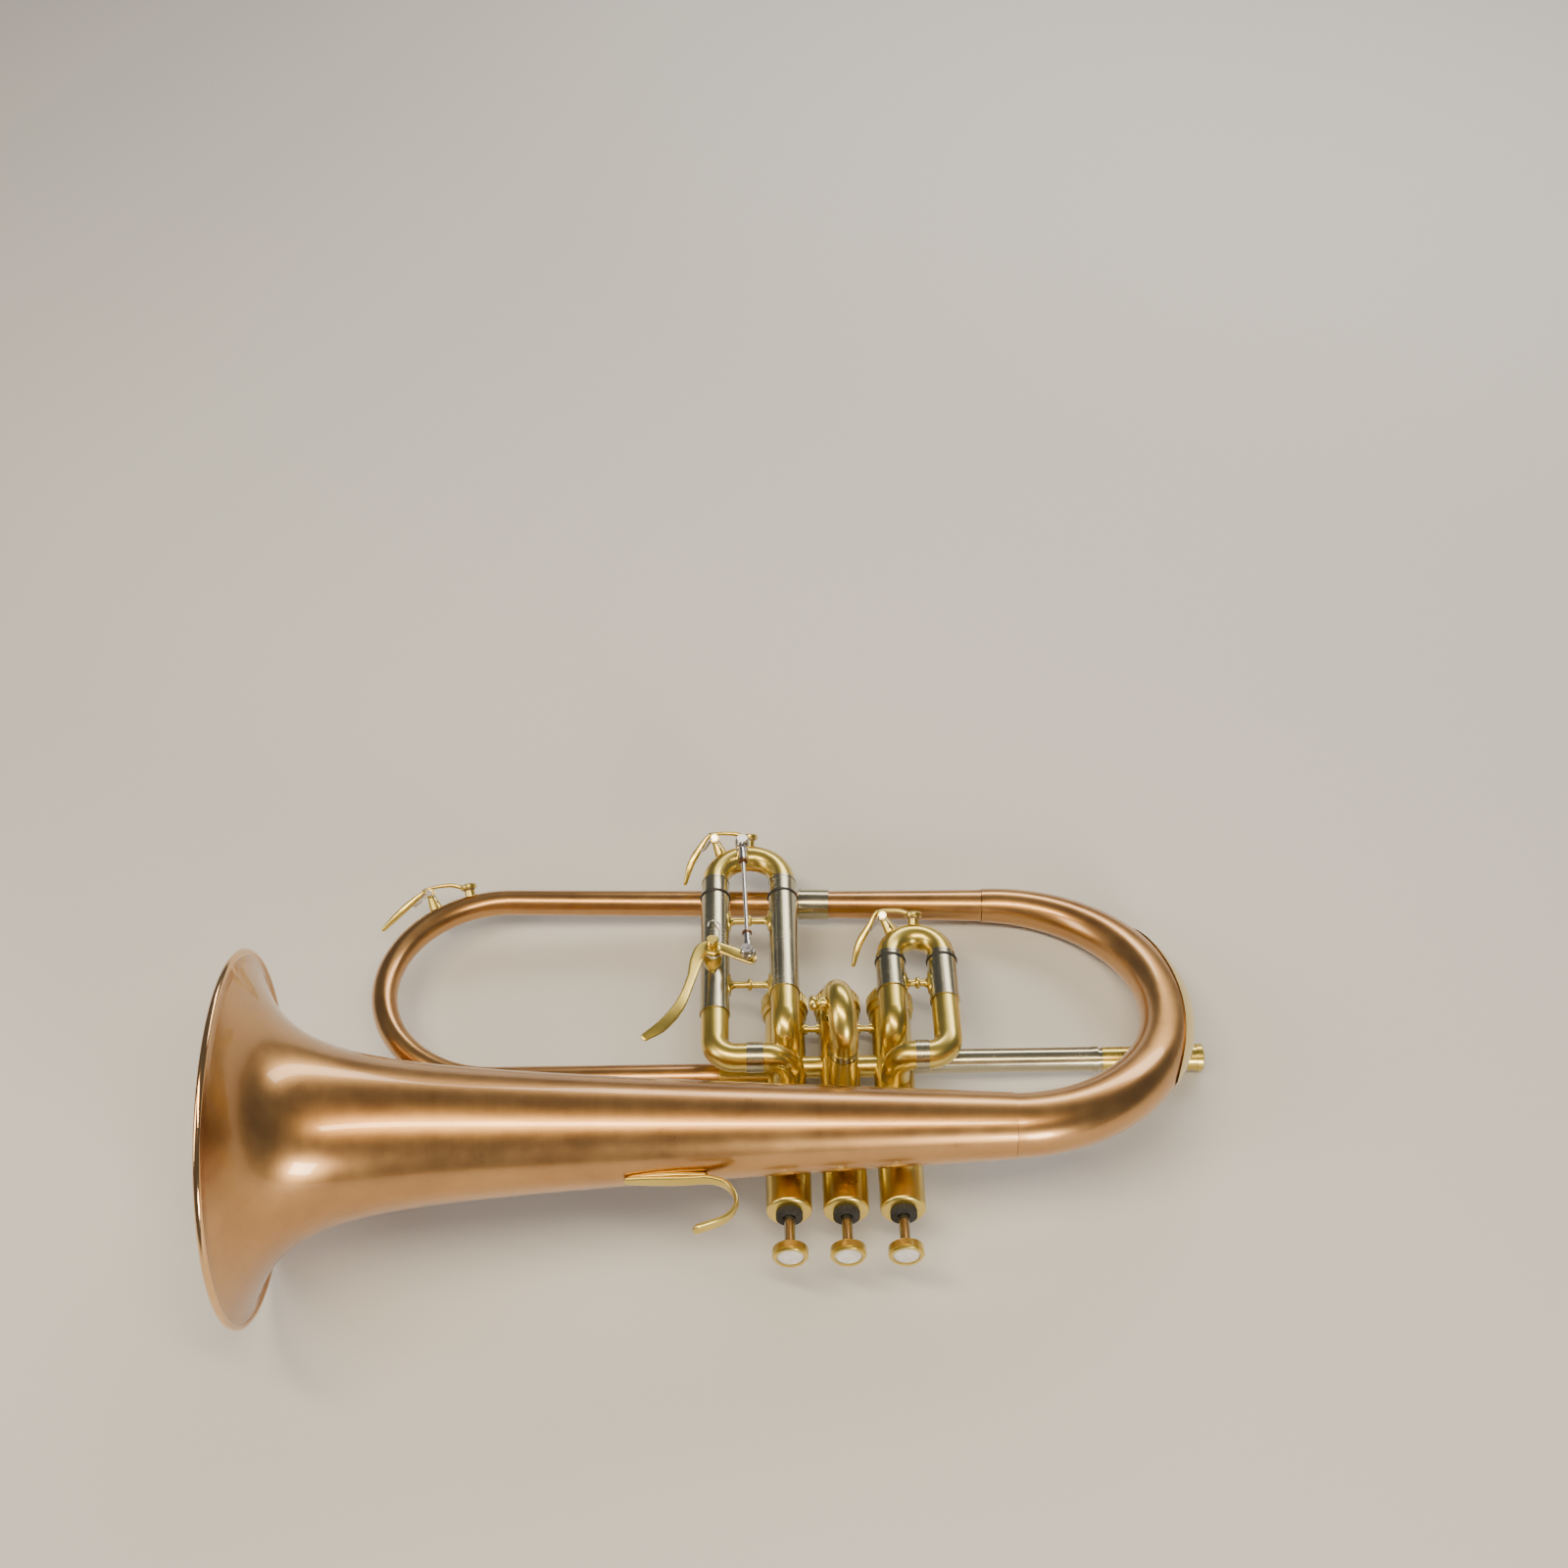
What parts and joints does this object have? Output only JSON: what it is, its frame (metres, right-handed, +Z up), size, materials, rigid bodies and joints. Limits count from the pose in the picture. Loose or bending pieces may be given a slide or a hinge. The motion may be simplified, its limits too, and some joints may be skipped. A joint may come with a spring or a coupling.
{
  "type": "flugelhorn",
  "caption": "Valved conical-bore brass wind instrument with wide bell, sprung valves, tuning slides, a slide trigger and water keys.",
  "frame": {"origin": "centre of the footprint of the horn lying on its side, on the surface it rests on", "axes": "+X from the bell mouth towards the player's end, +Y away from the finger buttons, +Z up"},
  "size_m": [0.4392, 0.269, 0.1648],
  "materials": {
    "copper": "satin brushed copper under lacquer",
    "brass": "satin brushed yellow brass under lacquer",
    "nickel": "brushed nickel silver",
    "steel": "bright turned steel",
    "rubber": "black rubber",
    "felt": "pressed wool felt",
    "cork": "cut cork"
  },
  "bodies": {
    "root": {"bell": "copper", "bell_bow": "copper", "bell_braces": "brass", "bell_rim_wire": "steel", "bottom_caps": "brass", "bottom_tube": "copper", "bottom_tube_ferrule": "nickel", "bow_guard": "brass", "cap_felts": "felt", "casing_links": "brass", "finger_hook": "brass", "first_slide_sleeves": "nickel", "front_bow": "copper", "front_bow_key_post": "brass", "leadpipe_sleeve": "nickel", "low_tube_ferrules": "nickel", "outlet_ferrule": "brass", "second_slide_sleeves": "brass", "slide_bends": "brass", "slide_braces": "brass", "slide_elbows": "brass", "slide_knuckles": "brass", "third_slide_sleeves": "nickel", "top_caps": "brass", "trigger_pivot": "brass", "trigger_spring": "steel", "valve_casing_1": "brass", "valve_casing_2": "brass", "valve_casing_3": "brass", "valve_spring_1": "steel", "valve_spring_2": "steel", "valve_spring_3": "steel"},
    "third_slide": {"third_slide_crook": "brass", "third_slide_legs": "nickel", "third_slide_orings": "rubber", "crook_stud": "steel", "link_rod": "steel", "third_slide_key_post": "brass"},
    "first_slide": {"first_slide_crook": "brass", "first_slide_legs": "nickel", "first_slide_orings": "rubber", "first_slide_key_post": "brass"},
    "second_slide": {"second_slide_crook": "brass", "second_slide_legs": "nickel"},
    "mouthpipe": {"mouthpipe": "nickel", "mouthpiece_receiver": "brass"},
    "trigger": {"trigger_lever": "brass", "lever_stud": "steel"},
    "front_bow_key": {"front_bow_key_lever": "brass", "front_bow_key_cork": "cork"},
    "third_slide_key": {"third_slide_key_lever": "brass", "third_slide_key_cork": "cork"},
    "first_slide_key": {"first_slide_key_lever": "brass", "first_slide_key_cork": "cork"},
    "valve_1": {"piston_1": "nickel", "finger_button_1": "brass"},
    "valve_2": {"piston_2": "nickel", "finger_button_2": "brass"},
    "valve_3": {"piston_3": "nickel", "finger_button_3": "brass"}
  },
  "joints": [
    {"name": "valve_1", "type": "slide", "parent": "root", "child": "valve_1", "axis": [-0.01, 0.9916, -0.1293], "range_m": [0, 0.016], "stiffness_N_per_m": 80, "springref_m": -0.03, "deforming": ["valve_spring_1"]},
    {"name": "valve_2", "type": "slide", "parent": "root", "child": "valve_2", "axis": [-0.01, 0.9916, -0.1293], "range_m": [0, 0.016], "stiffness_N_per_m": 80, "springref_m": -0.03, "deforming": ["valve_spring_2"]},
    {"name": "valve_3", "type": "slide", "parent": "root", "child": "valve_3", "axis": [-0.01, 0.9916, -0.1293], "range_m": [0, 0.016], "stiffness_N_per_m": 80, "springref_m": -0.03, "deforming": ["valve_spring_3"]},
    {"name": "third_slide", "type": "slide", "parent": "root", "child": "third_slide", "axis": [-0.01, 0.9916, -0.1293], "range_m": [0, 0.0118], "stiffness_N_per_m": 120, "springref_m": -0.01},
    {"name": "trigger", "type": "hinge", "parent": "root", "child": "trigger", "pos_m": [-0.00885, 0.05304, 0.05252], "axis": [0.0762, 0.1296, 0.9886], "range_deg": [0, 40.1]},
    {"name": "first_slide", "type": "slide", "parent": "root", "child": "first_slide", "axis": [-0.01, 0.9916, -0.1293], "range_m": [0, 0.012]},
    {"name": "second_slide", "type": "slide", "parent": "root", "child": "second_slide", "axis": [0.0762, 0.1296, 0.9886], "range_m": [0, 0.015]},
    {"name": "mouthpipe", "type": "slide", "parent": "root", "child": "mouthpipe", "axis": [0.997, 0, -0.0769], "range_m": [0, 0.02]},
    {"name": "third_slide_key", "type": "hinge", "parent": "third_slide", "child": "third_slide_key", "pos_m": [-0.0095, 0.12991, 0.03755], "axis": [0.067, -0.4912, 0.8685], "range_deg": [0, 15], "stiffness_Nm_per_rad": 0.1, "springref_deg": -28.65},
    {"name": "first_slide_key", "type": "hinge", "parent": "first_slide", "child": "first_slide_key", "pos_m": [0.07211, 0.07654, 0.03838], "axis": [0.067, -0.4912, 0.8685], "range_deg": [0, 15], "stiffness_Nm_per_rad": 0.1, "springref_deg": -28.65},
    {"name": "front_bow_key", "type": "hinge", "parent": "root", "child": "front_bow_key", "pos_m": [-0.15522, 0.11483, 0.02582], "axis": [0.0659, -0.5143, 0.8551], "range_deg": [0, 15], "stiffness_Nm_per_rad": 0.1, "springref_deg": -28.65}
  ],
  "couplings": [
    {"joint": "trigger", "follows": "third_slide", "rad_per_m": 59.164}
  ]
}
